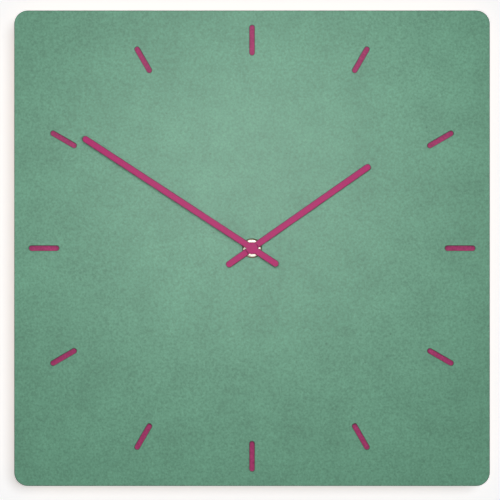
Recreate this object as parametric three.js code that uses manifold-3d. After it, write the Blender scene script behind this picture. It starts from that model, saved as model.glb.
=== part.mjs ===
// A square wall clock: a laminated face with twelve cut-through hour marks, two slim hands, a rail
// frame behind it that stands it off the wall, and a battery quartz movement with its whole gear train.
// Millimetres, +Z up. The face looks along -Y and the wall is the plane y = 0. The origin is the point
// where the wall screw's shank carries the clock, at the top of the keyhole.
import * as THREE from "three";
import { mergeVertices } from "three/addons/utils/BufferGeometryUtils.js";
import Module from "manifold-3d";

const wasm = await Module();
wasm.setup();

// ---------------------------------------------------------------- driving dimensions

const HUB_DROP = 145; // the hands' axis lies this far below the hanging point
const DEGREES = Math.PI / 180;

// The three layers of the clock face, from the front, and the rails and pads behind them.
const SIDE = 400;
const CORNER_RADIUS = 11.5;
const FACE_FRONT = -30;
const FACE_BACK = -28;
const ACCENT_BACK = -26;
const BOARD_BACK = -20;
const RAIL_BACK = -2;
const WALL = 0;
const FACE_HOLE_RADIUS = 8;
const BOARD_HOLE_RADIUS = 4.3;

// Hour marks: those at 12, 3, 6 and 9 are a little longer and sit nearer the hands.
const SLOT_WIDTH = 4.25;
const QUARTER_SLOT = { length: 25.4, radius: 175 };
const HOUR_SLOT = { length: 24.7, radius: 183 };

const FRAME_SIDE = 320;
const RAIL_WIDTH = 30;
const RAIL_CENTRE = FRAME_SIDE / 2 - RAIL_WIDTH / 2;
const PAD_RADIUS = 8;

// Hands: angles are clockwise from twelve, seen from the front.
const HAND_WIDTH = 5.5;
const HUB_DISC_RADIUS = 5.1;
const HOUR_HAND = { angle: 55, tip: 121.2, tail: 26.1, front: -33, back: -31.2 };
const MINUTE_HAND = { angle: 303.2, tip: 169.5, tail: 26.2, front: -36, back: -34.2 };

// The movement: a 56 mm case and the axes of its train, seen from the front, about the hands' axis.
const CASE = { left: -28, right: 28, bottom: -29, top: 27, front: -19, split: -8, back: -3 };
const CASE_WALL = 1.2;
const BAY_TOP = -12.6; // underside of the wall between the cell and the gears
const PLATE_FRONT = -14.6;
const PLATE_BACK = -13.8;
const PIVOT_RADIUS = 0.5;
const PIVOT_HOLE_RADIUS = 0.8;
const PIVOT_BACK = -4.8;

const TRAIN_MODULE = { centre: 0.34, third: 0.36, fourth: 0.52, rotor: 1 / 3, motion: 0.4 };
const ADDENDUM = 0.8;
const DEDENDUM = 1.2;

// ---------------------------------------------------------------- outlines in front view

const point = (x, z) => new THREE.Vector2(x, z);

// Points along a round stretch, from one angle to another, both ends included.
function arc(x, z, radius, from, to, steps) {
  return Array.from({ length: steps + 1 }, (_, i) => {
    const angle = from + ((to - from) * i) / steps;
    return point(x + radius * Math.cos(angle), z + radius * Math.sin(angle));
  });
}

function circle(radius, steps, x = 0, z = 0) {
  return arc(x, z, radius, 0, 2 * Math.PI, steps).slice(0, -1);
}

function rectangle(left, right, bottom, top) {
  return [point(left, bottom), point(right, bottom), point(right, top), point(left, top)];
}

function roundedRectangle(width, height, radius, steps, x = 0, z = 0) {
  const dx = width / 2 - radius;
  const dz = height / 2 - radius;
  const corners = [[dx, dz], [-dx, dz], [-dx, -dz], [dx, -dz]];
  return corners.flatMap(([cx, cz], i) =>
    arc(x + cx, z + cz, radius, (i * Math.PI) / 2, ((i + 1) * Math.PI) / 2, steps),
  );
}

// A slot with round ends, its length along the given direction from the centre of the dial.
function radialSlot(direction, centreRadius, length, width, steps) {
  const reach = (length - width) / 2;
  const [outer, inner] = [centreRadius + reach, centreRadius - reach];
  const [ux, uz] = [Math.cos(direction), Math.sin(direction)];
  const quarter = Math.PI / 2;
  return [
    ...arc(outer * ux, outer * uz, width / 2, direction - quarter, direction + quarter, steps),
    ...arc(inner * ux, inner * uz, width / 2, direction + quarter, direction + 3 * quarter, steps),
  ];
}

// A hand lying along +X: a bar with round ends that swells to a disc at the hub.
function handOutline({ tip, tail }) {
  const half = HAND_WIDTH / 2;
  const meet = Math.asin(half / HUB_DISC_RADIUS);
  return [
    ...arc(tip - half, 0, half, -Math.PI / 2, Math.PI / 2, 10),
    ...arc(0, 0, HUB_DISC_RADIUS, meet, Math.PI - meet, 12),
    ...arc(half - tail, 0, half, Math.PI / 2, 1.5 * Math.PI, 10),
    ...arc(0, 0, HUB_DISC_RADIUS, Math.PI + meet, 2 * Math.PI - meet, 12),
  ];
}

// A keyhole about the shank's seat: a slot that opens downwards into the round entry for the screw head.
function keyholeOutline(seat, slotRadius, entryDrop, entryRadius) {
  const meet = Math.acos(slotRadius / entryRadius);
  return [
    ...arc(0, seat, slotRadius, 0, Math.PI, 10),
    ...arc(0, seat - entryDrop, entryRadius, Math.PI - meet, 2 * Math.PI + meet, 24),
  ];
}

function gearOutline(module, teeth, phase) {
  const pitchRadius = (module * teeth) / 2;
  const root = pitchRadius - DEDENDUM * module;
  const tip = pitchRadius + ADDENDUM * module;
  const step = (2 * Math.PI) / teeth;
  const flank = [[root, -0.29], [tip, -0.11], [tip, 0.11], [root, 0.29]];
  return Array.from({ length: teeth }, (_, tooth) => phase + tooth * step).flatMap((angle) =>
    flank.map(([r, share]) => {
      const a = angle + share * step;
      return point(r * Math.cos(a), r * Math.sin(a));
    }),
  );
}

// ---------------------------------------------------------------- solids

// An outline made solid between a front and a back depth.
function slab(outline, front, back, holes = []) {
  const shape = new THREE.Shape(outline);
  shape.holes = holes.map((hole) => new THREE.Path(hole));
  const geometry = new THREE.ExtrudeGeometry(shape, { depth: back - front, bevelEnabled: false });
  geometry.rotateX(Math.PI / 2);
  geometry.translate(0, back, 0);
  return geometry;
}

// A profile of [radius, y] pairs turned about the Y axis, front to back along the outside.
function turned(profile, segments) {
  return new THREE.LatheGeometry(profile.map(([r, y]) => point(r, y)), segments);
}

function rod(radius, front, back, segments = 10) {
  return turned([[0, front], [radius, front], [radius, back], [0, back]], segments);
}

function ring(inner, outer, front, back, segments) {
  const profile = [[inner, front], [outer, front], [outer, back], [inner, back], [inner, front]];
  return turned(profile, segments);
}

function block(left, right, front, back, bottom, top) {
  return new THREE.BoxGeometry(right - left, back - front, top - bottom).translate(
    (left + right) / 2,
    (front + back) / 2,
    (bottom + top) / 2,
  );
}

const at = (geometry, x, z, y = 0) => geometry.translate(x, y, z);

// Turns a solid made about the Y axis so that its axis runs along +X, through the given point.
const alongX = (geometry, y, z) => geometry.rotateZ(-Math.PI / 2).translate(0, y, z);

function toSolid(geometry) {
  const bare = geometry.clone();
  bare.deleteAttribute("normal");
  bare.deleteAttribute("uv");
  const merged = mergeVertices(bare, 1e-4);
  const index = merged.index.array;
  const triangles = [];
  for (let i = 0; i < index.length; i += 3) {
    const [a, b, c] = index.slice(i, i + 3);
    if (a !== b && b !== c && c !== a) triangles.push(a, b, c);
  }
  return new wasm.Manifold(
    new wasm.Mesh({
      numProp: 3,
      vertProperties: merged.attributes.position.array,
      triVerts: new Uint32Array(triangles),
    }),
  );
}

function toGeometry(solid) {
  const mesh = solid.getMesh();
  const geometry = new THREE.BufferGeometry();
  geometry.setAttribute("position", new THREE.BufferAttribute(new Float32Array(mesh.vertProperties), 3));
  geometry.setIndex(new THREE.BufferAttribute(new Uint32Array(mesh.triVerts), 1));
  geometry.computeVertexNormals();
  return geometry;
}

const join = (...geometries) =>
  toGeometry(geometries.map(toSolid).reduce((whole, part) => whole.add(part)));

const cut = (base, ...tools) =>
  toGeometry(tools.map(toSolid).reduce((whole, tool) => whole.subtract(tool), toSolid(base)));

// ---------------------------------------------------------------- materials and scene graph

const material = (color, roughness, metalness = 0) =>
  new THREE.MeshStandardMaterial({ color, roughness, metalness });

const MATERIALS = {
  face: material("#7aa28c", 0.8),
  accent: material("#ab3f6d", 0.8),
  hand: material("#b63e73", 0.75),
  board: material("#a9855f", 0.85),
  rail: material("#c9a878", 0.7),
  felt: material("#4a4744", 0.95),
  steel: material("#b9bab8", 0.35, 1),
  nickel: material("#d9d3c6", 0.25, 1),
  brass: material("#c8a24e", 0.35, 1),
  copper: material("#b4632f", 0.4, 1),
  magnet: material("#3c3d40", 0.45, 0.8),
  blackPlastic: material("#1b1c1d", 0.5),
  whiteNylon: material("#e6e2d6", 0.5),
  rubber: material("#222222", 0.9),
  circuitResin: material("#2f6a3d", 0.5),
  chip: material("#151515", 0.4),
  cellWrap: material("#2b2f33", 0.4),
};

const clock = new THREE.Group();
const dial = new THREE.Group();
dial.position.z = -HUB_DROP;
clock.add(dial);

function add(name, geometry, look, x = 0, z = 0) {
  const mesh = new THREE.Mesh(geometry, look);
  mesh.name = name;
  mesh.position.set(x, 0, z);
  dial.add(mesh);
}

// ---------------------------------------------------------------- face, accent sheet and board

const board = () => roundedRectangle(SIDE, SIDE, CORNER_RADIUS, 8);

const slots = Array.from({ length: 12 }, (_, hour) => {
  const { length, radius } = hour % 3 === 0 ? QUARTER_SLOT : HOUR_SLOT;
  return radialSlot((90 - 30 * hour) * DEGREES, radius, length, SLOT_WIDTH, 8);
});
add(
  "face_sheet",
  slab(board(), FACE_FRONT, FACE_BACK, [circle(FACE_HOLE_RADIUS, 48), ...slots]),
  MATERIALS.face,
);
add(
  "accent_sheet",
  slab(board(), FACE_BACK, ACCENT_BACK, [circle(FACE_HOLE_RADIUS, 48)]),
  MATERIALS.accent,
);

// Countersunk wood screws hold each rail to the board from behind.
const SCREW = { head: 3.4, shank: 1.6, back: RAIL_BACK - 0.4, neck: RAIL_BACK - 2.4, tip: -24.6 };
const SCREW_CLEARANCE = 0.3;
const PILOT_BOTTOM = -25;
const RAIL_SCREW_SPREAD = 120;
const SIDE_SCREW_SPREAD = 80;

function crossRecess(back, depth, reach, width) {
  return [
    block(-reach, reach, back - depth, back + 1, -width / 2, width / 2),
    block(-width / 2, width / 2, back - depth, back + 1, -reach, reach),
  ];
}

function railScrew() {
  const { head, shank, back, neck, tip } = SCREW;
  const shape = turned([[0, tip], [shank, tip + 2], [shank, neck], [head, back], [0, back]], 12);
  return cut(shape, ...crossRecess(back, 1.2, 1.7, 0.8));
}

// The clearance hole in a rail, with its countersink, and the blind pilot hole in the board.
function railScrewHole() {
  const radius = SCREW.shank + SCREW_CLEARANCE;
  const sinkBottom = SCREW.neck - 0.5;
  const front = BOARD_BACK - 1;
  const past = RAIL_BACK + 1;
  return turned(
    [[0, front], [radius, front], [radius, sinkBottom], [4.1, RAIL_BACK], [4.1, past], [0, past]],
    16,
  );
}
const pilotHole = () => rod(SCREW.shank + SCREW_CLEARANCE, PILOT_BOTTOM, BOARD_BACK + 1, 16);

const SCREW_PLACES = [
  [-RAIL_SCREW_SPREAD, RAIL_CENTRE], [RAIL_SCREW_SPREAD, RAIL_CENTRE],
  [-RAIL_SCREW_SPREAD, -RAIL_CENTRE], [RAIL_SCREW_SPREAD, -RAIL_CENTRE],
  [-RAIL_CENTRE, SIDE_SCREW_SPREAD], [-RAIL_CENTRE, -SIDE_SCREW_SPREAD],
  [RAIL_CENTRE, SIDE_SCREW_SPREAD], [RAIL_CENTRE, -SIDE_SCREW_SPREAD],
];
add(
  "backing_board",
  cut(
    slab(board(), ACCENT_BACK, BOARD_BACK, [circle(BOARD_HOLE_RADIUS, 24)]),
    ...SCREW_PLACES.map(([x, z]) => at(pilotHole(), x, z)),
  ),
  MATERIALS.board,
);
SCREW_PLACES.forEach(([x, z], i) => add(`rail_screw_${i + 1}`, railScrew(), MATERIALS.steel, x, z));

// ---------------------------------------------------------------- rails, hanger and wall pads

const HANGER = { width: 50, bottom: 130, top: 152, thickness: 1, screwX: 20, screwZ: 141 };
const KEYHOLE = { slotRadius: 2.5, entryDrop: 8, entryRadius: 5 };
const POCKET_BOTTOM = -10;
const HANGER_SCREW = { shank: 1.4, head: 2.8, front: -12, headHeight: 0.8 };
const HANGER_SCREW_HOLE = HANGER_SCREW.shank + SCREW_CLEARANCE;

const half = FRAME_SIDE / 2;
const inner = half - RAIL_WIDTH;
const pocket = roundedRectangle(14, 19.5, 6, 4, 0, 141.5);
const hangerScrewSides = [-1, 1];
const hangerScrewHole = () => rod(HANGER_SCREW_HOLE, HANGER_SCREW.front - 1, RAIL_BACK + 1, 16);
add(
  "rail_top",
  cut(
    slab(rectangle(-half, half, inner, half), BOARD_BACK, RAIL_BACK),
    at(railScrewHole(), -RAIL_SCREW_SPREAD, RAIL_CENTRE),
    at(railScrewHole(), RAIL_SCREW_SPREAD, RAIL_CENTRE),
    slab(pocket, POCKET_BOTTOM, RAIL_BACK + 1),
    ...hangerScrewSides.map((side) => at(hangerScrewHole(), side * HANGER.screwX, HANGER.screwZ)),
  ),
  MATERIALS.rail,
);
add(
  "rail_bottom",
  cut(
    slab(rectangle(-half, half, -half, -inner), BOARD_BACK, RAIL_BACK),
    at(railScrewHole(), -RAIL_SCREW_SPREAD, -RAIL_CENTRE),
    at(railScrewHole(), RAIL_SCREW_SPREAD, -RAIL_CENTRE),
  ),
  MATERIALS.rail,
);
for (const [name, side] of [["rail_left", -1], ["rail_right", 1]]) {
  const edges = [side * inner, side * half].sort((a, b) => a - b);
  add(
    name,
    cut(
      slab(rectangle(...edges, -inner, inner), BOARD_BACK, RAIL_BACK),
      at(railScrewHole(), side * RAIL_CENTRE, SIDE_SCREW_SPREAD),
      at(railScrewHole(), side * RAIL_CENTRE, -SIDE_SCREW_SPREAD),
    ),
    MATERIALS.rail,
  );
}

const hangerHeight = HANGER.top - HANGER.bottom;
const hangerCentre = (HANGER.top + HANGER.bottom) / 2;
const hangerBack = RAIL_BACK + HANGER.thickness;
add(
  "hanger_plate",
  slab(
    roundedRectangle(HANGER.width, hangerHeight, 4, 4, 0, hangerCentre),
    RAIL_BACK,
    hangerBack,
    [
      keyholeOutline(HUB_DROP, KEYHOLE.slotRadius, KEYHOLE.entryDrop, KEYHOLE.entryRadius),
      ...hangerScrewSides.map((side) =>
        circle(HANGER_SCREW_HOLE, 16, side * HANGER.screwX, HANGER.screwZ),
      ),
    ],
  ),
  MATERIALS.steel,
);
for (const [name, side] of [["hanger_screw_left", -1], ["hanger_screw_right", 1]]) {
  const { shank, head, front, headHeight } = HANGER_SCREW;
  const headBack = hangerBack + headHeight;
  const tip = [[0, front], [shank, front + 2]];
  const headProfile = [[head, hangerBack], [head, headBack], [0, headBack]];
  const shape = turned([...tip, [shank, hangerBack], ...headProfile], 16);
  const screw = cut(shape, ...crossRecess(headBack, 0.6, 1.3, 0.6));
  add(name, screw, MATERIALS.steel, side * HANGER.screwX, HANGER.screwZ);
}

for (const [row, z] of [["top", RAIL_CENTRE], ["bottom", -RAIL_CENTRE]]) {
  for (const [column, x] of [["left", -RAIL_CENTRE], ["right", RAIL_CENTRE]]) {
    const pad = slab(circle(PAD_RADIUS, 24), RAIL_BACK, WALL);
    add(`wall_pad_${row}_${column}`, pad, MATERIALS.felt, x, z);
  }
}

// ---------------------------------------------------------------- axes and gears of the train

const polar = (from, distance, direction) => ({
  x: from.x + distance * Math.cos(direction * DEGREES),
  z: from.z + distance * Math.sin(direction * DEGREES),
});
const spacing = (module, teethA, teethB) => (module * (teethA + teethB)) / 2;

const AXIS = { centre: { x: 0, z: 0 } };
AXIS.third = polar(AXIS.centre, spacing(TRAIN_MODULE.centre, 48, 6), 60);
AXIS.intermediate = polar(AXIS.centre, spacing(TRAIN_MODULE.fourth, 30, 6), 150);
AXIS.rotor = polar(AXIS.intermediate, spacing(TRAIN_MODULE.rotor, 36, 6), 165);
AXIS.minute = polar(AXIS.centre, spacing(TRAIN_MODULE.motion, 10, 30), -20);
AXIS.setting = polar(AXIS.minute, spacing(TRAIN_MODULE.motion, 30, 12), 35);

// The phase at which gear B's gap takes gear A's tooth on the line between their axes.
function meshedPhase(axisA, teethA, phaseA, axisB, teethB) {
  const direction = Math.atan2(axisB.z - axisA.z, axisB.x - axisA.x);
  const position = ((direction - phaseA) * teethA) / (2 * Math.PI);
  return direction + Math.PI - ((0.5 - position) * 2 * Math.PI) / teethB;
}

const PHASE = {
  cannon: 0,
  minutePinion: 0,
  centreWheel: 0,
  thirdWheel: 0,
  fourthWheel: 0,
  intermediateWheel: 0,
};
PHASE.minuteWheel = meshedPhase(AXIS.centre, 10, PHASE.cannon, AXIS.minute, 30);
PHASE.settingPinion = meshedPhase(AXIS.minute, 30, PHASE.minuteWheel, AXIS.setting, 12);
PHASE.hourWheel = meshedPhase(AXIS.minute, 8, PHASE.minutePinion, AXIS.centre, 32);
PHASE.thirdPinion = meshedPhase(AXIS.centre, 48, PHASE.centreWheel, AXIS.third, 6);
PHASE.fourthPinion = meshedPhase(AXIS.third, 45, PHASE.thirdWheel, AXIS.centre, 6);
PHASE.intermediatePinion = meshedPhase(AXIS.centre, 30, PHASE.fourthWheel, AXIS.intermediate, 6);
PHASE.rotorPinion = meshedPhase(AXIS.intermediate, 36, PHASE.intermediateWheel, AXIS.rotor, 6);

const gear = (module, teeth, phase, front, back, holes = []) =>
  slab(gearOutline(module, teeth, phase), front, back, holes);

const PIPE = { minute: 1.6, minuteBore: 0.8, hourBore: 1.8, hour: 2.5, bushingBore: 2.8, bushing: 4 };
const CANNON = { front: -16, back: -14.9 };
const ARBOR_RADIUS = 1.5;

// The minute arbor: the long pipe that carries the minute hand, its cannon pinion, and the seat for the
// centre wheel, which slips on it when the hands are set.
const minutePipe = turned(
  [[0, -35], [PIPE.minute, -35], [PIPE.minute, CANNON.front + 0.3], [0, CANNON.front + 0.3]],
  24,
);
const minuteSeat = rod(ARBOR_RADIUS, CANNON.back - 0.3, -12.6, 24);
const cannonPinion = gear(TRAIN_MODULE.motion, 10, PHASE.cannon, CANNON.front, CANNON.back);
const minuteBore = rod(PIPE.minuteBore, -34.2, -12, 16);
add("minute_arbor", cut(join(minutePipe, cannonPinion, minuteSeat), minuteBore), MATERIALS.steel);
add(
  "centre_wheel",
  gear(TRAIN_MODULE.centre, 48, PHASE.centreWheel, -13.5, -12.7, [circle(ARBOR_RADIUS + 0.1, 24)]),
  MATERIALS.brass,
);

const hourGear = gear(TRAIN_MODULE.motion, 32, PHASE.hourWheel, -17.3, -16.3);
const hourPipe = rod(PIPE.hour, -32.7, -16.8, 24);
const hourBore = rod(PIPE.hourBore, -34, -15, 24);
add("hour_wheel", cut(join(hourGear, hourPipe), hourBore), MATERIALS.whiteNylon);

// A wheel and pinion on one arbor, at its axis.
function addArbor(name, axis, look, front, back, ...gears) {
  add(name, join(rod(PIVOT_RADIUS, front, back), ...gears), look, axis.x, axis.z);
}
addArbor(
  "minute_wheel", AXIS.minute, MATERIALS.whiteNylon, -18.3, -14,
  gear(TRAIN_MODULE.motion, 8, PHASE.minutePinion, -17.4, -15.5),
  gear(TRAIN_MODULE.motion, 30, PHASE.minuteWheel, -15.9, -15.1),
);
addArbor(
  "third_wheel", AXIS.third, MATERIALS.whiteNylon, -14.2, PIVOT_BACK,
  gear(TRAIN_MODULE.centre, 6, PHASE.thirdPinion, -13.6, -11.5),
  gear(TRAIN_MODULE.third, 45, PHASE.thirdWheel, -11.9, -11.1),
);
addArbor(
  "fourth_wheel", AXIS.centre, MATERIALS.whiteNylon, -33.5, PIVOT_BACK,
  gear(TRAIN_MODULE.third, 6, PHASE.fourthPinion, -12.3, -9.9),
  gear(TRAIN_MODULE.fourth, 30, PHASE.fourthWheel, -10.3, -9.5),
);
addArbor(
  "intermediate_wheel", AXIS.intermediate, MATERIALS.whiteNylon, -14.2, PIVOT_BACK,
  gear(TRAIN_MODULE.fourth, 6, PHASE.intermediatePinion, -10.35, -8.5),
  gear(TRAIN_MODULE.rotor, 36, PHASE.intermediateWheel, -8.9, -8.1),
);
addArbor(
  "rotor_pinion", AXIS.rotor, MATERIALS.whiteNylon, -14.2, PIVOT_BACK,
  gear(TRAIN_MODULE.rotor, 6, PHASE.rotorPinion, -9.3, -7.7),
);
add("rotor_magnet", ring(0.6, 3, -12.3, -9.6, 20), MATERIALS.magnet, AXIS.rotor.x, AXIS.rotor.z);

// The time-setting knob behind the case, on one stem with its pinion.
const KNOB = { radius: 7.5, front: -2.7, back: -0.7, notches: 24, stem: 1.2 };
const knobRim = Array.from({ length: 2 * KNOB.notches }, (_, i) => {
  const angle = (i * Math.PI) / KNOB.notches;
  const radius = KNOB.radius - (i % 2) * 0.4;
  return point(radius * Math.cos(angle), radius * Math.sin(angle));
});
add(
  "set_knob",
  join(
    rod(PIVOT_RADIUS, -18.3, -15.5),
    gear(TRAIN_MODULE.motion, 12, PHASE.settingPinion, -16.1, -14.9),
    rod(KNOB.stem, -15.2, KNOB.front + 0.5, 12),
    slab(knobRim, KNOB.front, KNOB.back),
  ),
  MATERIALS.blackPlastic,
  AXIS.setting.x,
  AXIS.setting.z,
);

// ---------------------------------------------------------------- case, bushing and middle plate

const insideLeft = CASE.left + CASE_WALL;
const insideRight = CASE.right - CASE_WALL;
const insideTop = CASE.top - CASE_WALL;
const insideFront = CASE.front + CASE_WALL;
const gearFloor = BAY_TOP + CASE_WALL;
const pivotAxes = [AXIS.minute, AXIS.setting];
const trainAxes = [AXIS.centre, AXIS.third, AXIS.intermediate, AXIS.rotor];
const postPlaces = [[-22, -7.5], [22, -7.5], [-22, 22], [22, 22]];

const frontShell = cut(
  block(CASE.left, CASE.right, CASE.front, CASE.back, CASE.bottom, CASE.top),
  block(CASE.left - 1, CASE.right + 1, CASE.split, CASE.back + 1, gearFloor, CASE.top + 1),
  block(insideLeft, insideRight, insideFront, CASE.split + 1, gearFloor, insideTop),
  block(insideLeft, insideRight, insideFront, CASE.back + 1, CASE.bottom + CASE_WALL, BAY_TOP),
);
const posts = postPlaces.map(([x, z]) => at(rod(1.5, insideFront - 0.5, PLATE_FRONT, 12), x, z));
const pivotPits = pivotAxes.map(({ x, z }) => at(rod(PIVOT_HOLE_RADIUS, -18.5, -17, 12), x, z));
const NOTCH = { front: -9.7, reach: 1 };
// The opening in the bay's ceiling that lets a contact strip up to the circuit, from left to right.
const stripNotch = (left) =>
  block(left, left + NOTCH.reach, NOTCH.front, CASE.split, BAY_TOP - 1, gearFloor + 1);
add(
  "case_front",
  cut(
    join(frontShell, ...posts),
    rod(BOARD_HOLE_RADIUS, CASE.front - 1, insideFront + 1, 24),
    ...pivotPits,
    stripNotch(insideLeft),
    stripNotch(insideRight - NOTCH.reach),
  ),
  MATERIALS.blackPlastic,
);

const coverBottom = gearFloor + SCREW_CLEARANCE;
const coverInside = CASE.back - CASE_WALL;
const bossFront = -6.2;
const boardPegs = [[7, 22], [22, 14]];
const BOARD = { left: 3, right: 25, bottom: 12, top: 25, front: -7.5, back: -6.5 };
const coverShell = cut(
  block(CASE.left, CASE.right, CASE.split, CASE.back, coverBottom, CASE.top),
  block(insideLeft, insideRight, CASE.split - 1, coverInside, coverBottom + CASE_WALL, insideTop),
);
add(
  "case_rear",
  cut(
    join(
      coverShell,
      ...trainAxes.map(({ x, z }) => at(rod(1.8, bossFront, coverInside + 0.5, 16), x, z)),
      ...boardPegs.map(([x, z]) => at(rod(1.2, BOARD.back, coverInside + 0.5, 12), x, z)),
    ),
    ...trainAxes.map(({ x, z }) => at(rod(PIVOT_HOLE_RADIUS, bossFront - 1, PIVOT_BACK + 0.3, 12), x, z)),
    at(rod(KNOB.stem + 0.3, coverInside - 1, CASE.back + 1, 12), AXIS.setting.x, AXIS.setting.z),
  ),
  MATERIALS.blackPlastic,
);

const STATOR = { front: -11.4, back: -10.4 };
const statorPegs = [[-22, 5.5], [-22, 20], [-6.5, 13.5]];
add(
  "middle_plate",
  join(
    slab(rectangle(-26, 26, -10.8, 25.2), PLATE_FRONT, PLATE_BACK, [
      circle(ARBOR_RADIUS + SCREW_CLEARANCE, 16),
      circle(KNOB.stem + SCREW_CLEARANCE, 16, AXIS.setting.x, AXIS.setting.z),
      ...[AXIS.third, AXIS.intermediate, AXIS.rotor, AXIS.minute].map(({ x, z }) =>
        circle(PIVOT_HOLE_RADIUS, 12, x, z),
      ),
    ]),
    ...statorPegs.map(([x, z]) => at(rod(1, PLATE_BACK - 0.4, STATOR.front, 12), x, z)),
  ),
  MATERIALS.whiteNylon,
);

add(
  "threaded_bushing",
  turned(
    [
      [PIPE.bushingBore, -29.4], [PIPE.bushing, -29.4], [PIPE.bushing, -19.8], [6, -19.8], [6, CASE.front],
      [PIPE.bushing, CASE.front], [PIPE.bushing, -17.9], [PIPE.bushingBore, -17.9],
      [PIPE.bushingBore, -29.4],
    ],
    24,
  ),
  MATERIALS.brass,
);
add("gasket", ring(6.3, 14, BOARD_BACK, CASE.front, 32), MATERIALS.rubber);
add("washer", ring(4.15, 7.25, ACCENT_BACK - 1, ACCENT_BACK, 40), MATERIALS.nickel);

const nutRim = Array.from({ length: 72 }, (_, i) => {
  const angle = (i * Math.PI) / 36;
  const radius = 6.75 - (i % 2) * 0.15;
  return point(radius * Math.cos(angle), radius * Math.sin(angle));
});
add("dial_nut", slab(nutRim, -29, ACCENT_BACK - 1, [circle(4.15, 24)]), MATERIALS.nickel);

// ---------------------------------------------------------------- stepper motor and circuit

const statorOutlines = [
  slab(circle(4.8, 28, AXIS.rotor.x, AXIS.rotor.z), STATOR.front, STATOR.back),
  block(-24, -20, STATOR.front, STATOR.back, 3, 22),
  block(-21, -15, STATOR.front, STATOR.back, 5, 8),
  block(-14, -4.8, STATOR.front, STATOR.back, 8.5, 11),
  block(-8.3, -4.8, STATOR.front, STATOR.back, 10, 22),
];
const rotorOpening = rod(3.6, STATOR.front - 1, STATOR.back + 1, 24);
add(
  "stator",
  cut(join(...statorOutlines), at(rotorOpening, AXIS.rotor.x, AXIS.rotor.z)),
  MATERIALS.steel,
);

const COIL = { y: -9.9, z: 20.25, left: -19.6, right: -8.9, flange: 0.8 };
add("coil_core", block(-24, -4.8, STATOR.back, STATOR.back + 1, 18.5, 22), MATERIALS.steel);
const bobbinProfile = [
  [0, COIL.left], [3.6, COIL.left], [3.6, COIL.left + COIL.flange], [2.5, COIL.left + COIL.flange],
  [2.5, COIL.right - COIL.flange], [3.6, COIL.right - COIL.flange], [3.6, COIL.right], [0, COIL.right],
];
add(
  "coil_bobbin",
  cut(
    alongX(turned(bobbinProfile, 20), COIL.y, COIL.z),
    block(COIL.left - 1, COIL.right + 1, STATOR.back - 0.3, STATOR.back + 1.3, 18.2, 22.3),
  ),
  MATERIALS.whiteNylon,
);
add(
  "coil_winding",
  alongX(ring(2.6, 3.4, COIL.left + 0.9, COIL.right - 0.9, 20), COIL.y, COIL.z),
  MATERIALS.copper,
);

const circuit = block(BOARD.left, BOARD.right, BOARD.front, BOARD.back, BOARD.bottom, BOARD.top);
add("circuit_board", circuit, MATERIALS.circuitResin);
add("control_chip", block(7, 12, BOARD.front - 1.2, BOARD.front, 15, 20), MATERIALS.chip);
add("quartz_crystal", alongX(rod(1, 15, 21.5, 12), BOARD.front - 1.3, 21), MATERIALS.nickel);

// ---------------------------------------------------------------- cell and contacts

const CELL = { radius: 7.25, y: -10.4, z: -20.2, left: -24.2, shoulder: 25.3, right: 26.3, nub: 2.75 };
add(
  "battery_cell",
  alongX(
    turned(
      [
        [0, CELL.left], [6.6, CELL.left], [CELL.radius, CELL.left + 0.6],
        [CELL.radius, CELL.shoulder - 0.6],
        [6.6, CELL.shoulder], [CELL.nub, CELL.shoulder], [CELL.nub, CELL.right], [0, CELL.right],
      ],
      28,
    ),
    CELL.y,
    CELL.z,
  ),
  MATERIALS.cellWrap,
);

// Each contact is a plate in the bay with a strip that runs up the case wall to a foot on the circuit.
const CONTACT = { thickness: 0.4, front: -15, back: -6, bottom: -25, top: -14 };
const STRIP = { front: -9.4, back: -8.4 };
const FOOT = { front: BOARD.front - CONTACT.thickness, back: BOARD.front };
const rightFace = insideRight - CONTACT.thickness;
const leftFace = insideLeft + CONTACT.thickness;
const topFace = insideTop - CONTACT.thickness;
add(
  "contact_positive",
  join(
    block(rightFace, insideRight, CONTACT.front, CONTACT.back, CONTACT.bottom, CONTACT.top),
    block(rightFace, insideRight, STRIP.front, STRIP.back, CONTACT.top - 1, 16),
    block(rightFace, insideRight, STRIP.front, FOOT.back, 14, 16),
    block(23.5, insideRight, FOOT.front, FOOT.back, 14, 16),
  ),
  MATERIALS.nickel,
);
add(
  "contact_negative",
  join(
    block(insideLeft, leftFace, CONTACT.front, CONTACT.back, CONTACT.bottom, CONTACT.top),
    block(insideLeft, leftFace, STRIP.front, STRIP.back, CONTACT.top - 1, insideTop),
    block(insideLeft, 5.5, STRIP.front, STRIP.back, topFace, insideTop),
    block(3.5, 5.5, STRIP.front, FOOT.back, topFace, insideTop),
    block(3.5, 5.5, FOOT.front, FOOT.back, 23.5, insideTop),
  ),
  MATERIALS.nickel,
);

// A conical spring that presses the cell towards the positive plate.
const SPRING = { turns: 2.25, wire: 0.25, wide: 4.2, narrow: 2.2, length: 1.3 };
class ConicalHelix extends THREE.Curve {
  getPoint(t, target = new THREE.Vector3()) {
    const angle = 2 * Math.PI * SPRING.turns * t;
    const radius = SPRING.wide + (SPRING.narrow - SPRING.wide) * t;
    return target.set(SPRING.length * t, radius * Math.cos(angle), radius * Math.sin(angle));
  }
}
const spring = new THREE.ExtrudeGeometry(new THREE.Shape(circle(SPRING.wire, 6)), {
  steps: 36,
  extrudePath: new ConicalHelix(),
  bevelEnabled: false,
});
add("contact_spring", at(spring, leftFace + SPRING.wire + 0.05, CELL.z, CELL.y), MATERIALS.steel);

// ---------------------------------------------------------------- hands and their collets

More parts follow.
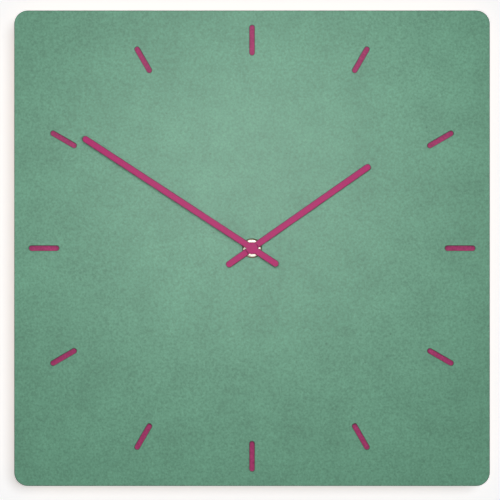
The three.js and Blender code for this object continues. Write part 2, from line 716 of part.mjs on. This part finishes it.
function addHand(name, hand, pipeRadius, collet) {
  const turn = (90 - hand.angle) * DEGREES;
  const bar = slab(handOutline(hand), hand.front, hand.back);
  const socket = rod(pipeRadius + 0.1, collet.socketFront, hand.back + 1, 24);
  const blade = cut(bar, socket);
  blade.rotateY(-turn);
  add(name, blade, MATERIALS.hand);
  const sleeve = ring(pipeRadius + 0.1, collet.radius, hand.back, collet.back, 24);
  add(`${name}_collet`, sleeve, MATERIALS.brass);
}
addHand("hour_hand", HOUR_HAND, PIPE.hour, { radius: 3.8, back: -29.9, socketFront: HOUR_HAND.front - 1 });
addHand("minute_hand", MINUTE_HAND, PIPE.minute, { radius: 3, back: -33.5, socketFront: -35.3 });

export default clock;
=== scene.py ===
# A square wall clock: fibrous green face over a magenta sheet, slim magenta hands, bright dial nut, and
# behind the board its rail frame, hanger plate and quartz movement. Metres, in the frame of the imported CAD.
import math

import bmesh
import bpy
from mathutils import Matrix, Vector


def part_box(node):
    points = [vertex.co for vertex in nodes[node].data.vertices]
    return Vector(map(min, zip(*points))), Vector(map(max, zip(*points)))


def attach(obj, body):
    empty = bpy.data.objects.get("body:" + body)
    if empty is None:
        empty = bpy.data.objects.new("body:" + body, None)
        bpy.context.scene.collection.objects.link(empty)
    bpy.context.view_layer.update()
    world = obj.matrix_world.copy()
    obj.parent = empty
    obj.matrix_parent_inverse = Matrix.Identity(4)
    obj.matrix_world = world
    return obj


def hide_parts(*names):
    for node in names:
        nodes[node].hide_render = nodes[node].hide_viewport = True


MM = 0.001
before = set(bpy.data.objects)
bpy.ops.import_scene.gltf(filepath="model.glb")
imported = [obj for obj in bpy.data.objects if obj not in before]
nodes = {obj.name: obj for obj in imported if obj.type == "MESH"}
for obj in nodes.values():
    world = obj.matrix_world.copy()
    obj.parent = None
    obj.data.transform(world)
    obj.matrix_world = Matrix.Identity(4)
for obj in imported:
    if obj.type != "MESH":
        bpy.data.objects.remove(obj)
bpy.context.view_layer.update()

# ---------------------------------------------------------------- sizes: side and hub from the CAD's own nodes, the rest given here


def middle(node):
    low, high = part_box(node)
    return (Vector(low) + Vector(high)) / 2


def depths(node):
    low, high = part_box(node)
    return low[1], high[1]


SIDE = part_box("face_sheet")[1][0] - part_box("face_sheet")[0][0]
HUB = middle("face_sheet")
CORNER_RADIUS = 11.5 * MM
SLOT_WIDTH = 4.25 * MM
QUARTER_SLOT = {"length": 25.4 * MM, "radius": 175 * MM}
HOUR_SLOT = {"length": 24.7 * MM, "radius": 183 * MM}
FACE_HOLE_RADIUS = 8 * MM
HAND_WIDTH = 5.5 * MM
HUB_DISC_RADIUS = 5.1 * MM
HOUR_HAND = {"angle": 55, "tip": 121.2 * MM, "tail": 26.1 * MM}
MINUTE_HAND = {"angle": 303.2, "tip": 169.5 * MM, "tail": 26.2 * MM}

# ---------------------------------------------------------------- camera, straight in front of the face

CAMERA_DISTANCE = 2.0
CAMERA_LEFT = 1.7 * MM
CAMERA_BELOW = 1.5 * MM
VIEW_WIDTH = 420.5 * MM
SENSOR = 36


def add_camera():
    face_front = depths("face_sheet")[0]
    data = bpy.data.cameras.new("camera")
    data.sensor_width = SENSOR
    data.lens = SENSOR * CAMERA_DISTANCE / VIEW_WIDTH
    camera = bpy.data.objects.new("camera", data)
    camera.location = (HUB.x - CAMERA_LEFT, face_front - CAMERA_DISTANCE, HUB.z - CAMERA_BELOW)
    camera.rotation_euler = (math.pi / 2, 0, 0)
    bpy.context.scene.collection.objects.link(camera)
    bpy.context.scene.camera = camera


add_camera()
bpy.context.scene.view_settings.view_transform = "Standard"

# ---------------------------------------------------------------- node helpers


class Nodes:
    """A material's node tree, with short calls to add and join its nodes."""

    def __init__(self, name, tree_owner=None):
        self.owner = tree_owner or bpy.data.materials.new(name)
        self.owner.use_nodes = True
        self.tree = self.owner.node_tree
        self.tree.nodes.clear()

    def add(self, kind, inputs=None, **settings):
        node = self.tree.nodes.new(kind)
        for key, value in settings.items():
            setattr(node, key, value)
        for key, value in (inputs or {}).items():
            if isinstance(value, bpy.types.NodeSocket):
                self.tree.links.new(value, node.inputs[key])
            else:
                node.inputs[key].default_value = value
        return node

    def noise(self, scale, detail=2.0, stretch=(1, 1, 1), turn=(0, 0, 0), roughness=0.5):
        place = self.add("ShaderNodeTexCoord").outputs["Object"]
        turned_place = self.add("ShaderNodeMapping", {"Vector": place, "Rotation": turn}).outputs[0]
        mapped = self.add("ShaderNodeMapping", {"Vector": turned_place, "Scale": stretch})
        settings = {
            "Vector": mapped.outputs[0], "Scale": scale, "Detail": detail, "Roughness": roughness,
        }
        return self.add("ShaderNodeTexNoise", settings).outputs["Fac"]

    def span(self, value, low, high, to_low=0.0, to_high=1.0):
        inputs = {"Value": value, "From Min": low, "From Max": high, "To Min": to_low, "To Max": to_high}
        return self.add("ShaderNodeMapRange", inputs).outputs["Result"]

    def math(self, operation, first, second=0.0):
        node = self.add("ShaderNodeMath", {0: first, 1: second}, operation=operation)
        return node.outputs[0]

    def mix(self, share, first, second, blend="MIX"):
        node = self.add("ShaderNodeMix", data_type="RGBA", blend_type=blend)
        for index, value in ((0, share), (6, first), (7, second)):
            if isinstance(value, bpy.types.NodeSocket):
                self.tree.links.new(value, node.inputs[index])
            else:
                node.inputs[index].default_value = value
        return node.outputs[2]

    def scaled(self, colour, factor):
        """A colour made lighter or darker by a factor that may vary over the surface."""
        node = self.add("ShaderNodeVectorMath", operation="SCALE")
        for key, value in (("Vector", colour), ("Scale", factor)):
            if isinstance(value, bpy.types.NodeSocket):
                self.tree.links.new(value, node.inputs[key])
            else:
                node.inputs[key].default_value = value[:3] if key == "Vector" else value
        return node.outputs[0]

    def attribute(self, name):
        return self.add("ShaderNodeAttribute", attribute_name=name).outputs["Fac"]

    def bump(self, height, distance, strength=1.0, normal=None):
        inputs = {"Height": height, "Distance": distance, "Strength": strength}
        if normal:
            inputs["Normal"] = normal
        return self.add("ShaderNodeBump", inputs).outputs[0]

    def surface(self, colour, roughness, normal=None, **constants):
        shader = self.add("ShaderNodeBsdfPrincipled", {"Base Color": colour, "Roughness": roughness})
        if normal:
            self.tree.links.new(normal, shader.inputs["Normal"])
        for key, value in constants.items():
            shader.inputs[key.replace("_", " ")].default_value = value
        output = self.add("ShaderNodeOutputMaterial")
        self.tree.links.new(shader.outputs[0], output.inputs[0])
        return self.owner


def rgb(red, green, blue):
    """A linear colour from the 0 to 255 values that a screen shows."""

    def linear(value):
        value /= 255
        return value / 12.92 if value <= 0.04045 else ((value + 0.055) / 1.055) ** 2.4

    return (linear(red), linear(green), linear(blue), 1)


# ---------------------------------------------------------------- materials


def pressed_fibre(name, colour, charred, mottle=0.19, gloss=0.5):
    """Bonded fibre sheet: soft clouds, fine mottling, short pale fibres and laser-darkened cut edges."""
    n = Nodes(name)
    grain = n.noise(620, 3, roughness=0.6)
    layers = (
        n.span(n.noise(9, 2), 0.3, 0.7, 0.955, 1.045),
        n.span(n.noise(38, 3), 0.3, 0.7, 0.94, 1.06),
        n.span(n.noise(230, 3), 0.3, 0.7, 0.96, 1.04),
        n.span(grain, 0.3, 0.7, 1 - mottle, 1 + mottle),
    )
    tone = layers[0]
    for layer in layers[1:]:
        tone = n.math("MULTIPLY", tone, layer)
    body = n.scaled(colour, tone)
    fibres = None
    for turn in (0.3, 1.1, 1.9, 2.7):
        streak = n.noise(640, 1, stretch=(1, 1, 0.22), turn=(0, turn, 0))
        lit = n.span(streak, 0.70, 0.78)
        fibres = lit if fibres is None else n.math("MAXIMUM", fibres, lit)
    pale = tuple(min(1, 1.5 * c + 0.06) for c in colour[:3]) + (1,)
    body = n.mix(n.math("MULTIPLY", fibres, 0.22), body, pale)
    flecks = n.span(n.noise(330, 1), 0.2, 0.26, 0.3, 0.0)
    body = n.mix(flecks, body, charred)
    burn = n.math("MULTIPLY", n.attribute("edge"), n.span(n.noise(700, 2), 0.2, 0.8, 0.75, 1.0))
    body = n.mix(burn, body, charred)
    rough = n.span(grain, 0.3, 0.7, 0.47, 0.55)
    coarse = n.bump(n.noise(300, 4, roughness=0.6), 0.0001, 0.4)
    normal = n.bump(n.math("ADD", grain, n.math("MULTIPLY", fibres, 0.3)), 0.00006, 0.5, coarse)
    return n.surface(body, rough, normal, Specular_IOR_Level=gloss)


def dyed_board(name, colour, charred):
    """Dyed laser-cut fibreboard for the hands: almost even, with faint fibre and darker cut edges."""
    n = Nodes(name)
    grain = n.noise(900, 3)
    body = n.scaled(colour, n.span(grain, 0.3, 0.7, 0.93, 1.07))
    body = n.mix(n.math("MULTIPLY", n.attribute("edge"), 0.9), body, charred)
    rough = n.span(grain, 0.3, 0.7, 0.5, 0.6)
    return n.surface(body, rough, n.bump(grain, 0.00004, 0.5), Specular_IOR_Level=0.3)


def wood_fibre(name, colour):
    n = Nodes(name)
    specks = n.noise(1500, 4, roughness=0.7)
    strands = n.noise(420, 3, stretch=(1, 1, 0.35), turn=(0, 0.9, 0))
    body = n.scaled(colour, n.span(specks, 0.25, 0.75, 0.78, 1.16))
    body = n.scaled(body, n.span(strands, 0.3, 0.7, 0.9, 1.09))
    body = n.scaled(body, n.span(n.noise(60, 4), 0.3, 0.7, 0.96, 1.03))
    return n.surface(body, n.span(specks, 0.3, 0.7, 0.75, 0.9), n.bump(specks, 0.0001, 0.6))


def planed_wood(name, light, dark, along):
    """Straight-grained softwood; along is the axis that the grain runs on, 0 for X and 2 for Z."""
    n = Nodes(name)
    stretch = [1, 1, 1]
    stretch[along] = 0.03
    rings = n.noise(120, 3, stretch=tuple(stretch))
    pores = n.noise(1400, 2, stretch=tuple(stretch))
    body = n.mix(n.span(rings, 0.4, 0.62), light, dark)
    body = n.scaled(body, n.span(pores, 0.3, 0.7, 0.88, 1.08))
    return n.surface(body, n.span(pores, 0.3, 0.7, 0.55, 0.75), n.bump(pores, 0.0001, 0.5))


def metal(name, colour, roughness, scratch=0.08, stretch=(1, 1, 1), grain=600):
    n = Nodes(name)
    lines = n.noise(grain, 3, stretch=stretch)
    body = n.scaled(colour, n.span(lines, 0.3, 0.7, 1 - scratch, 1 + scratch / 2))
    rough = n.span(lines, 0.3, 0.7, roughness * 0.8, roughness * 1.25)
    return n.surface(body, rough, n.bump(lines, 0.00002, 0.4), Metallic=1.0)


def plastic(name, colour, roughness, grain=0.00003, wear=0.06):
    n = Nodes(name)
    pits = n.noise(2600, 2)
    smudge = n.noise(60, 3)
    body = n.scaled(colour, n.span(smudge, 0.3, 0.7, 1 - wear, 1 + wear))
    rough = n.math("ADD", n.span(smudge, 0.3, 0.7, -0.05, 0.07), roughness)
    return n.surface(body, rough, n.bump(pits, grain, 0.6))


def felt(name, colour):
    n = Nodes(name)
    fuzz = n.noise(2200, 5, roughness=0.7)
    body = n.scaled(colour, n.span(fuzz, 0.25, 0.75, 0.6, 1.5))
    return n.surface(body, 0.95, n.bump(fuzz, 0.0003, 0.9), Sheen_Weight=0.6, Sheen_Roughness=0.6)


def winding(name, colour):
    """Enamelled wire laid side by side round the X axis."""
    n = Nodes(name)
    place = n.add("ShaderNodeTexCoord").outputs["Object"]
    along = n.add("ShaderNodeSeparateXYZ", {0: place}).outputs[0]
    turns = n.math("PINGPONG", along, 0.00006)
    height = n.span(turns, 0, 0.00006)
    # Painted shade and highlight: the colour is darker in the grooves between turns and lighter on their
    # crests.
    body = n.scaled(colour, n.span(height, 0, 1, 0.45, 1.1))
    return n.surface(body, 0.3, n.bump(height, 0.00008, 0.8), Metallic=0.9)


GREEN = (0.142, 0.357, 0.236, 1)
MAGENTA = (0.440, 0.044, 0.166, 1)
HAND_MAGENTA = (0.458, 0.014, 0.148, 1)
LOOKS = {
    "face": pressed_fibre("face_fibre", GREEN, rgb(38, 44, 36)),
    "accent": pressed_fibre("accent_fibre", MAGENTA, rgb(60, 20, 34), gloss=0.2),
    "hand": dyed_board("hand_fibreboard", HAND_MAGENTA, rgb(78, 20, 42)),
    "board": wood_fibre("pressed_board", rgb(168, 134, 98)),
    "rail_across": planed_wood("softwood_across", rgb(214, 184, 138), rgb(184, 146, 98), 0),
    "rail_up": planed_wood("softwood_up", rgb(214, 184, 138), rgb(184, 146, 98), 2),
    "felt": felt("pad_felt", rgb(74, 71, 68)),
    "steel": metal("zinc_steel", rgb(186, 187, 186), 0.46),
    "nickel": metal("nickel", (0.76, 0.72, 0.62, 1), 0.48, 0.03),
    "brass": metal("brass", rgb(206, 168, 88), 0.3),
    "magnet": metal("magnet", rgb(70, 71, 75), 0.5),
    "copper": winding("copper_wire", rgb(190, 104, 50)),
    "black": plastic("black_plastic", rgb(30, 31, 32), 0.45),
    "knob": plastic("knob_plastic", rgb(66, 67, 69), 0.38),
    "nylon": plastic("white_nylon", rgb(228, 224, 212), 0.42),
    "rubber": plastic("gasket_rubber", rgb(34, 34, 35), 0.8),
    "resin": plastic("circuit_resin", rgb(40, 100, 58), 0.3),
    "chip": plastic("chip_resin", rgb(22, 22, 23), 0.35),
    "wrap": plastic("cell_film", rgb(44, 49, 54), 0.22, 0.00001),
    "band": plastic("cell_band", rgb(196, 132, 74), 0.22, 0.00001),
    "can": metal("cell_can", rgb(205, 205, 203), 0.25, 0.03),
}

# ---------------------------------------------------------------- outlines, as loops that can be inset


def arc(x, z, radius, start, end, steps):
    turns = [start + (end - start) * i / steps for i in range(steps + 1)]
    return [(x + radius * math.cos(t), z + radius * math.sin(t)) for t in turns]


def square_loop(inset):
    reach = SIDE / 2 - CORNER_RADIUS
    corners = ((reach, reach), (-reach, reach), (-reach, -reach), (reach, -reach))
    loop = []
    for i, (x, z) in enumerate(corners):
        loop += arc(x, z, CORNER_RADIUS - inset, i * math.pi / 2, (i + 1) * math.pi / 2, 14)
    return loop


def hole_loop(inset):
    return arc(0, 0, FACE_HOLE_RADIUS + inset, 0, 2 * math.pi, 72)[:-1]


def slot_loop(hour):
    direction = math.radians(90 - 30 * hour)
    mark = QUARTER_SLOT if hour % 3 == 0 else HOUR_SLOT
    radius = mark["radius"]
    reach = (mark["length"] - SLOT_WIDTH) / 2
    ux, uz = math.cos(direction), math.sin(direction)
    quarter = math.pi / 2

    def loop(inset):
        width = SLOT_WIDTH / 2 + inset
        outer, inner = radius + reach, radius - reach
        far = arc(outer * ux, outer * uz, width, direction - quarter, direction + quarter, 14)
        near = arc(inner * ux, inner * uz, width, direction + quarter, direction + 3 * quarter, 14)
        return far + near

    return loop


def hand_loop(hand):
    def loop(inset):
        half = HAND_WIDTH / 2 - inset
        disc = HUB_DISC_RADIUS - inset
        meet = math.asin(half / disc)
        tip_centre = hand["tip"] - HAND_WIDTH / 2
        tail_centre = HAND_WIDTH / 2 - hand["tail"]
        points = arc(tip_centre, 0, half, -math.pi / 2, math.pi / 2, 16)
        points += arc(0, 0, disc, meet, math.pi - meet, 20)
        points += arc(tail_centre, 0, half, math.pi / 2, 1.5 * math.pi, 16)
        points += arc(0, 0, disc, math.pi + meet, 2 * math.pi - meet, 20)
        turn = math.radians(90 - hand["angle"])
        c, s = math.cos(turn), math.sin(turn)
        return [(x * c - z * s, x * s + z * c) for x, z in points]

    return loop


# ---------------------------------------------------------------- mesh builders


def finish_mesh(name, bm, look, body, replaced, centre=HUB, smooth_below=35):
    bmesh.ops.recalc_face_normals(bm, faces=bm.faces)
    for face in bm.faces:
        face.smooth = True
    for edge in bm.edges:
        if len(edge.link_faces) == 2:
            edge.smooth = edge.calc_face_angle(0) < math.radians(smooth_below)
    mesh = bpy.data.meshes.new(name)
    bm.to_mesh(mesh)
    bm.free()
    mesh.transform(Matrix.Translation((centre.x, 0, centre.z)))
    for one in look if isinstance(look, (list, tuple)) else [look]:
        mesh.materials.append(LOOKS[one])
    piece = bpy.data.objects.new(name, mesh)
    bpy.context.scene.collection.objects.link(piece)
    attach(piece, body)
    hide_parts(*replaced)
    return piece


def plate(name, outer, holes, front, back, look, body, replaced, bevel=0.15 * MM, scorch=0.45 * MM):
    """A flat sheet with softly rounded cut edges. The value "edge" is 1 on them and fades just inside."""
    bm = bmesh.new()
    edge = bm.verts.layers.float.new("edge")
    steps = [
        (bevel + scorch, back, 0.0), (bevel, back, 0.9), (0.3 * bevel, back - 0.3 * bevel, 1.0),
        (0, back - bevel, 1.0), (0, front + bevel, 1.0), (0.3 * bevel, front + 0.3 * bevel, 1.0),
        (bevel, front, 0.9), (bevel + 0.4 * scorch, front, 0.5), (bevel + scorch, front, 0.0),
    ]
    rims = {0: [], len(steps) - 1: []}
    for outline in [outer, *holes]:
        rows = []
        for inset, y, burn in steps:
            row = [bm.verts.new((x, y, z)) for x, z in outline(inset)]
            for vert in row:
                vert[edge] = burn
            rows.append(row)
        for one, two in zip(rows, rows[1:]):
            for i in range(len(one)):
                j = (i + 1) % len(one)
                bm.faces.new((one[i], one[j], two[j], two[i]))
        for end, found in rims.items():
            row = rows[end]
            found += [bm.edges.get((row[i], row[(i + 1) % len(row)])) for i in range(len(row))]
    for found in rims.values():
        bmesh.ops.triangle_fill(bm, use_beauty=True, use_dissolve=False, edges=found)
    return finish_mesh(name, bm, look, body, replaced)


def turned(name, profile, segments, centre, look, body, replaced, ripple=None, turn=None, bands=()):
    """A profile of (radius, y) turned about Y. ripple(index, radius) adds knurling."""
    bm = bmesh.new()
    rows = []
    for radius, y in profile:
        if radius == 0:
            rows.append([bm.verts.new((0, y, 0))])
            continue
        row = []
        for i in range(segments):
            angle = 2 * math.pi * i / segments
            r = radius + (ripple(i, radius) if ripple else 0)
            row.append(bm.verts.new((r * math.cos(angle), y, r * math.sin(angle))))
        rows.append(row)
    closed = profile[0][0] > 0
    pairs = list(zip(rows, rows[1:])) + ([(rows[-1], rows[0])] if closed else [])
    for index, (one, two) in enumerate(pairs):
        material_index = bands[index] if bands else 0
        for i in range(segments):
            j = (i + 1) % segments
            corners = [one[i % len(one)], one[j % len(one)], two[j % len(two)], two[i % len(two)]]
            face = bm.faces.new(list(dict.fromkeys(corners)))
            face.material_index = material_index
    if turn:
        bm.transform(turn)
    return finish_mesh(name, bm, look, body, replaced, centre)


def rounded(profile, radius=0.15 * MM, steps=3):
    """The same closed or open profile with each inner corner rounded."""
    closed = profile[0][0] > 0
    points = [Vector(p) for p in profile]
    count = len(points)
    result = []
    for i, corner in enumerate(points):
        if not closed and i in (0, count - 1):
            result.append(tuple(corner))
            continue
        before = points[i - 1] - corner
        after = points[(i + 1) % count] - corner
        reach = min(radius, before.length * 0.45, after.length * 0.45)
        start = corner + before.normalized() * reach
        end = corner + after.normalized() * reach
        for step in range(steps + 1):
            t = step / steps
            mixed = start * (1 - t) ** 2 + corner * 2 * t * (1 - t) + end * t ** 2
            result.append(tuple(mixed))
    return result


# ---------------------------------------------------------------- face, accent sheet and hands

ROOT = "clock_body"
face_front, face_back = depths("face_sheet")
accent_front, accent_back = depths("accent_sheet")
plate(
    "face_fibre_sheet", square_loop, [hole_loop, *(slot_loop(hour) for hour in range(12))],
    face_front, face_back, "face", ROOT, ["face_sheet"],
)
plate(
    "accent_fibre_sheet", square_loop, [hole_loop],
    accent_front, accent_back, "accent", ROOT, ["accent_sheet"],
)
HANDS = (("hour_hand", HOUR_HAND, "hour_drive"), ("minute_hand", MINUTE_HAND, "minute_drive"))
for name, hand, body in HANDS:
    front, back = depths(name)
    plate(
        f"{name}_blade", hand_loop(hand), [], front, back, "hand", body, [name],
        bevel=0.2 * MM, scorch=0.3 * MM,
    )

# ---------------------------------------------------------------- dial nut, washer and collets


NUT_BORE = 4.15 * MM
HOUR_COLLET_BORE = 2.6 * MM
MINUTE_COLLET_BORE = 1.7 * MM
KNURL_FROM = 6 * MM
KNURL_TEETH = 48
KNURL_DEPTH = 0.12 * MM
NUT_SEGMENTS = 288


def ring_profile(node, inner, bevel=0.15 * MM):
    low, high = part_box(node)
    outer = (high[0] - low[0]) / 2
    return rounded([(inner, low[1]), (outer, low[1]), (outer, high[1]), (inner, high[1])], bevel)


def knurl(depth, teeth, segments):
    """Shallow grooves along the outer rim only; the bore stays round."""

    def ripple(index, radius):
        if radius < KNURL_FROM:
            return 0
        wave = 0.5 - 0.5 * math.cos(2 * math.pi * teeth * index / segments)
        return -depth * wave

    return ripple


turned(
    "dial_nut_knurled", ring_profile("dial_nut", NUT_BORE, 0.35 * MM), NUT_SEGMENTS,
    middle("dial_nut"), "nickel", ROOT, ["dial_nut"],
    ripple=knurl(KNURL_DEPTH, KNURL_TEETH, NUT_SEGMENTS),
)
turned(
    "washer_ring", ring_profile("washer", NUT_BORE, 0.2 * MM), 96, middle("washer"),
    "nickel", ROOT, ["washer"],
)
turned(
    "hour_collet_ring", ring_profile("hour_hand_collet", HOUR_COLLET_BORE, 0.2 * MM), 64,
    middle("hour_hand_collet"), "brass", "hour_drive", ["hour_hand_collet"],
)
turned(
    "minute_collet_ring", ring_profile("minute_hand_collet", MINUTE_COLLET_BORE, 0.15 * MM), 64,
    middle("minute_hand_collet"), "brass", "minute_drive", ["minute_hand_collet"],
)

# ---------------------------------------------------------------- AA cell


def cell():
    low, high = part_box("battery_cell")
    radius = (high[2] - low[2]) / 2
    centre = middle("battery_cell")
    half = (high[0] - low[0]) / 2
    shoulder = half - 1 * MM
    profile = [
        (0, -half), (5.2 * MM, -half), (5.6 * MM, -half + 0.3 * MM), (6.5 * MM, -half + 0.3 * MM),
        (radius - 0.1 * MM, -half + 0.9 * MM), (radius, -half + 1.1 * MM), (radius, shoulder - 12 * MM),
        (radius, shoulder - 1.1 * MM), (radius - 0.3 * MM, shoulder - 0.5 * MM), (6.3 * MM, shoulder),
        (3.2 * MM, shoulder), (2.75 * MM, shoulder + 0.2 * MM), (2.7 * MM, half - 0.2 * MM),
        (2.4 * MM, half), (0, half),
    ]
    can, wrap, band = 0, 1, 2
    bands = [can, can, can, can, wrap, wrap, band, band, band, wrap, can, can, can, can]
    turn = Matrix.Translation((0, centre.y, 0)) @ Matrix.Rotation(-math.pi / 2, 4, "Z")
    turned(
        "cell_wrapped", profile, 64, centre, ["can", "wrap", "band"], "cell", ["battery_cell"],
        turn=turn, bands=bands,
    )


cell()

# ---------------------------------------------------------------- finishes of the CAD nodes that stay

CARRIED = {
    "backing_board": "board", "rail_top": "rail_across", "rail_bottom": "rail_across",
    "rail_left": "rail_up", "rail_right": "rail_up", "hanger_plate": "steel",
    "hanger_screw_left": "steel", "hanger_screw_right": "steel", "minute_arbor": "steel",
    "centre_wheel": "brass", "hour_wheel": "nylon", "minute_wheel": "nylon", "third_wheel": "nylon",
    "fourth_wheel": "nylon", "intermediate_wheel": "nylon", "rotor_pinion": "nylon",
    "rotor_magnet": "magnet", "set_knob": "knob", "case_front": "black", "case_rear": "black",
    "middle_plate": "nylon", "threaded_bushing": "brass", "gasket": "rubber", "stator": "steel",
    "coil_core": "steel", "coil_bobbin": "nylon", "coil_winding": "copper", "circuit_board": "resin",
    "control_chip": "chip", "quartz_crystal": "nickel", "contact_positive": "nickel",
    "contact_negative": "nickel", "contact_spring": "steel",
    **{f"rail_screw_{i}": "steel" for i in range(1, 9)},
    **{f"wall_pad_{row}_{side}": "felt" for row in ("top", "bottom") for side in ("left", "right")},
}
DEFAULT_BEVEL = 0.08
BEVELS = {"board": 0.4, "rail_across": 0.8, "rail_up": 0.8, "felt": 0.4, "black": 0.3, "knob": 0.2}


def soften(node, width):
    """Rounds the sharp edges of a CAD node a little, as moulding, planing or stamping leaves them."""
    bevel = node.modifiers.new("soft_edges", "BEVEL")
    bevel.width = width
    bevel.segments = 2
    bevel.limit_method = "ANGLE"
    bevel.angle_limit = math.radians(40)
    bevel.harden_normals = True


for node_name, look in CARRIED.items():
    node = nodes[node_name]
    for slot in node.material_slots:
        slot.material = LOOKS[look]
    soften(node, BEVELS.get(look, DEFAULT_BEVEL) * MM)

# ---------------------------------------------------------------- light, wall and floor

# The face's own light. Key gives its colour, highlight its gloss, and sun the even part of the shade.
KEY_DISTANCE = 0.5
KEY_LEFT = 0.012
KEY_SIZE = 0.25
KEY_RAISED = 0.06
KEY_POWER = 1.25
HIGHLIGHT_RAISED = 0.085
HIGHLIGHT_POWER = 1.42
SUN = 1.0
SUN_FROM = (0.06, -1, 0.13)
SUN_SPREAD = 60
FILL = 0.06
BACKDROP = 1.02

# Soft lights for the metal at the dial, the clock's back, the metal there, and the board's edges.
GLINT_DISTANCE = 1.5
GLINT_POWER = 20
REAR_FROM = (-0.8, 1.4, 0.7)
REAR_POWER = 45
REAR_GLINT_DISTANCE = 1.5
REAR_GLINT_SHIFT = 0.3
REAR_GLINT_POWER = 6
EDGE_DISTANCE = 1.3
EDGE_POWER = 5
EDGE_PLACES = (("left", -1, 0.3), ("right", 1, 0.3), ("top", 0, 1), ("bottom", 0, -1))

# The wall and the floor glow a little. A sun of its own gives the wall the clock's shadow.
WALL_SUN = 1.25
WALL_SUN_FROM = (0.22, -1, 0.18)
WALL_SUN_SPREAD = 23
WALL_GLOW = 0.53
WALL_PAINT = (0.885, 0.9, 0.915, 1)
FLOOR_GLOW = 0.55
FLOOR_PAINT = (0.8, 0.8, 0.8, 1)
STAGE_REACH = 0.9
BEHIND_WALL_PLANE = 0.0005
FLOOR_DROP = 0.25

REAR_METAL = {name for name, look in CARRIED.items() if look in ("steel", "nickel", "brass")}
DIAL_METAL = {"dial_nut_knurled", "washer_ring", "hour_collet_ring", "minute_collet_ring"}


def add_light(name, kind, place, target, energy, **settings):
    data = bpy.data.lights.new(name, kind)
    data.energy = energy
    for key, value in settings.items():
        setattr(data, key, value)
    lamp = bpy.data.objects.new(name, data)
    lamp.location = place
    lamp.rotation_euler = (Vector(target) - Vector(place)).to_track_quat("-Z", "Y").to_euler()
    lamp.visible_camera = False
    bpy.context.scene.collection.objects.link(lamp)
    return lamp


def add_disk(name, place, power, size, target=tuple(HUB)):
    return add_light(name, "AREA", place, target, power, shape="DISK", size=size)


def add_sun(name, place, strength, spread):
    return add_light(name, "SUN", place, (0, 0, 0), strength, angle=math.radians(spread))


def add_front_light(name, raised, power):
    """A soft disk straight in front of the face, a little above the hub."""
    x, z = HUB.x - KEY_LEFT, HUB.z + raised
    return add_disk(name, (x, face_front - KEY_DISTANCE, z), power, KEY_SIZE, (x, face_front, z))


key = add_front_light("key", KEY_RAISED, KEY_POWER)
key.visible_glossy = False
highlight = add_front_light("highlight", HIGHLIGHT_RAISED, HIGHLIGHT_POWER)
highlight.visible_diffuse = False
glint = add_disk("glint", (HUB.x, face_front - GLINT_DISTANCE, HUB.z + 0.1), GLINT_POWER, 1.1)
rear_glint_from = (HUB.x - REAR_GLINT_SHIFT, REAR_GLINT_DISTANCE, HUB.z + REAR_GLINT_SHIFT)
rear_glint = add_disk("rear_glint", rear_glint_from, REAR_GLINT_POWER, 1.6)
sun = add_sun("sun", SUN_FROM, SUN, SUN_SPREAD)
sun.visible_glossy = False
wall_sun = add_sun("wall_sun", WALL_SUN_FROM, WALL_SUN, WALL_SUN_SPREAD)
add_disk("rear_soft", REAR_FROM, REAR_POWER, 1.8)
edge_lights = []
for side, x, z in EDGE_PLACES:
    place = (HUB.x + x * EDGE_DISTANCE, 0, HUB.z + z * EDGE_DISTANCE)
    edge_lights.append(add_disk(f"edge_{side}", place, EDGE_POWER, 0.6))


def add_world():
    world = bpy.data.worlds.new("studio")
    bpy.context.scene.world = world
    n = Nodes("studio", world)
    seen = n.add("ShaderNodeLightPath").outputs["Is Camera Ray"]
    strength = n.span(seen, 0, 1, FILL, BACKDROP)
    background = n.add("ShaderNodeBackground", {"Color": (1, 1, 1, 1), "Strength": strength})
    output = n.add("ShaderNodeOutputWorld")
    n.tree.links.new(background.outputs[0], output.inputs[0])


add_world()


def stage_plane(name, place, turn, material):
    bm = bmesh.new()
    bmesh.ops.create_grid(bm, x_segments=1, y_segments=1, size=STAGE_REACH)
    mesh = bpy.data.meshes.new(name)
    bm.to_mesh(mesh)
    bm.free()
    mesh.materials.append(material)
    plane = bpy.data.objects.new(name, mesh)
    plane.location = place
    plane.rotation_euler = turn
    for ray in ("diffuse", "glossy", "shadow", "transmission"):
        setattr(plane, f"visible_{ray}", False)
    bpy.context.scene.collection.objects.link(plane)
    return plane


def stage_material(name, glow, paint):
    """Bright, and takes a faint shadow. Only its front shows, so it never hides the clock from behind."""
    n = Nodes(name)
    light = n.add("ShaderNodeEmission", {"Color": (1, 1, 1, 1), "Strength": glow})
    matt = n.add("ShaderNodeBsdfDiffuse", {"Color": paint})
    front = n.add("ShaderNodeAddShader", {0: light.outputs[0], 1: matt.outputs[0]})
    clear = n.add("ShaderNodeBsdfTransparent")
    behind = n.add("ShaderNodeNewGeometry").outputs["Backfacing"]
    both = n.add("ShaderNodeMixShader", {0: behind, 1: front.outputs[0], 2: clear.outputs[0]})
    output = n.add("ShaderNodeOutputMaterial")
    n.tree.links.new(both.outputs[0], output.inputs[0])
    return n.owner


def light_only(lamp, objects):
    """The lamp lights these objects and nothing else. Everything still casts its shadow."""
    receivers = bpy.data.collections.new(f"{lamp.name}_receivers")
    for one in objects:
        receivers.objects.link(one)
    lamp.light_linking.receiver_collection = receivers


wall_paint = stage_material("wall", WALL_GLOW, WALL_PAINT)
floor_paint = stage_material("floor", FLOOR_GLOW, FLOOR_PAINT)
upright = (math.pi / 2, 0, 0)
floor_height = HUB.z - SIDE / 2 - FLOOR_DROP
wall = stage_plane("wall", (0, BEHIND_WALL_PLANE, HUB.z), upright, wall_paint)
stage_plane("floor", (0, 0, floor_height), (0, 0, 0), floor_paint)
shown = [one for one in bpy.context.scene.objects if one.type == "MESH" and one is not wall]
for lamp in (key, highlight, sun, *edge_lights):
    light_only(lamp, shown)
light_only(glint, [one for one in shown if one.name in DIAL_METAL])
light_only(rear_glint, [nodes[name] for name in sorted(REAR_METAL)])
light_only(wall_sun, [wall])
